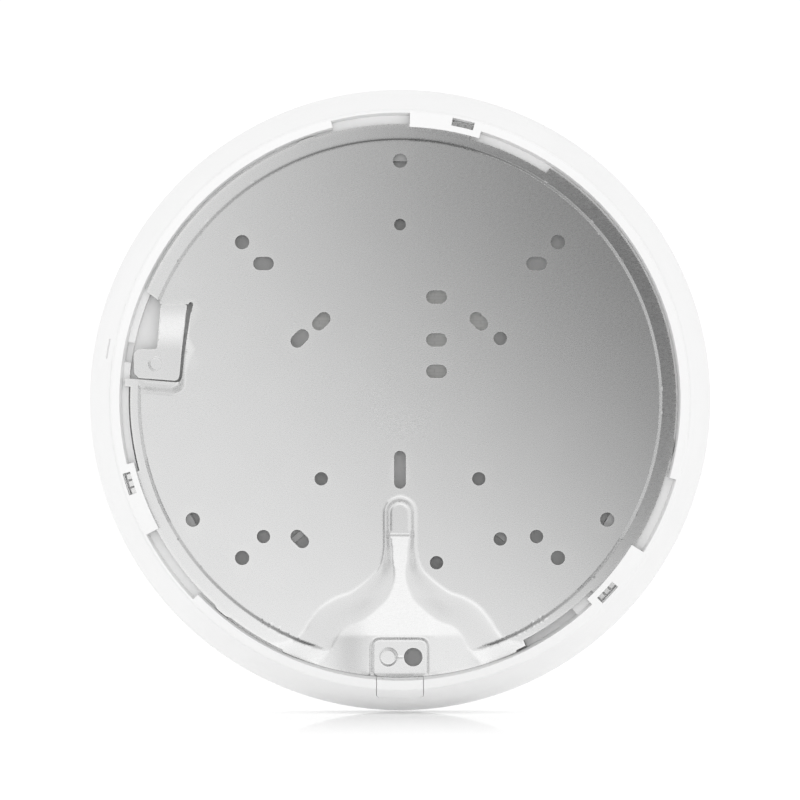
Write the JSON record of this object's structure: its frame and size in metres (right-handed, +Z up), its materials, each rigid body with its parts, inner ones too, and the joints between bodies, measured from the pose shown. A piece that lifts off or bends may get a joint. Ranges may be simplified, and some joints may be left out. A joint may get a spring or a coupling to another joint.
{
  "type": "ceiling access point",
  "caption": "Round white ceiling access point on its steel bayonet mounting plate, with lock tongue, cable tray, boards and antennas inside.",
  "frame": {"origin": "centre of the mounting plate's flat face, in the ceiling plane", "axes": "+Z up into the ceiling; -Y through the cable exit; the lock tongue is on the -X side"},
  "size_m": [0.197, 0.197, 0.0349],
  "materials": {
    "zinc_plate": "satin",
    "white_plastic": "matte",
    "white_cap": "matte",
    "light_guide": "satin",
    "circuit_board": "satin",
    "tinned_steel": "satin",
    "gold_contact": "gloss",
    "chip_black": "matte",
    "thermal_pad": "matte",
    "cast_sink": "satin",
    "ferrite": "matte",
    "capacitor_can": "satin",
    "component_tan": "matte",
    "antenna_metal": "satin",
    "lead_jacket": "satin",
    "carrier_plastic": "matte",
    "lamp_lens": "gloss",
    "foam": "matte",
    "label_film": "matte",
    "screw_steel": "satin",
    "button_grey": "matte"
  },
  "bodies": {
    "mount": {"mounting_plate": "zinc_plate"},
    "tongue": {"lock_tongue": "zinc_plate"},
    "access_point": {"rear_housing": "white_plastic", "front_cover": "white_plastic", "light_ring": "light_guide", "centre_cap": "white_cap", "main_board": "circuit_board", "ethernet_jack": "tinned_steel", "jack_contacts": "gold_contact", "shield_cans": "tinned_steel", "processor": "chip_black", "radio_chips": "chip_black", "memory_chips": "chip_black", "port_magnetics": "chip_black", "thermal_pads": "thermal_pad", "heat_sink": "cast_sink", "power_inductors": "ferrite", "capacitors": "capacitor_can", "small_parts": "component_tan", "reset_switch": "chip_black", "coax_connectors": "gold_contact", "coax_leads": "lead_jacket", "antennas_24ghz": "antenna_metal", "antennas_5ghz": "antenna_metal", "antenna_carrier": "carrier_plastic", "led_board": "circuit_board", "leds": "lamp_lens", "board_connector": "chip_black", "foam_gasket": "foam", "rating_label": "label_film", "housing_screws": "screw_steel", "board_screws": "screw_steel", "carrier_screws": "screw_steel", "heat_sink_screws": "screw_steel"},
    "exit_cover": {"cable_exit_cover": "white_plastic"},
    "reset_plunger": {"reset_button": "button_grey"}
  },
  "joints": [
    {"name": "bayonet_turn", "type": "hinge", "parent": "mount", "child": "access_point", "pos_m": [0, 0, 0], "axis": [0, 0, 1], "range_deg": [-15, 0]},
    {"name": "tongue_flex", "type": "hinge", "parent": "mount", "child": "tongue", "pos_m": [-0.0706, 0.03, -0.0012], "axis": [1, 0, 0], "range_deg": [0, 5], "stiffness_Nm_per_rad": 1.5},
    {"name": "exit_cover_pull", "type": "slide", "parent": "access_point", "child": "exit_cover", "axis": [0, 0, 1], "range_m": [0, 0.012]},
    {"name": "reset_press", "type": "slide", "parent": "access_point", "child": "reset_plunger", "axis": [0, 0, -1], "range_m": [0, 0.0005], "stiffness_N_per_m": 1000, "springref_m": -0.0005}
  ]
}
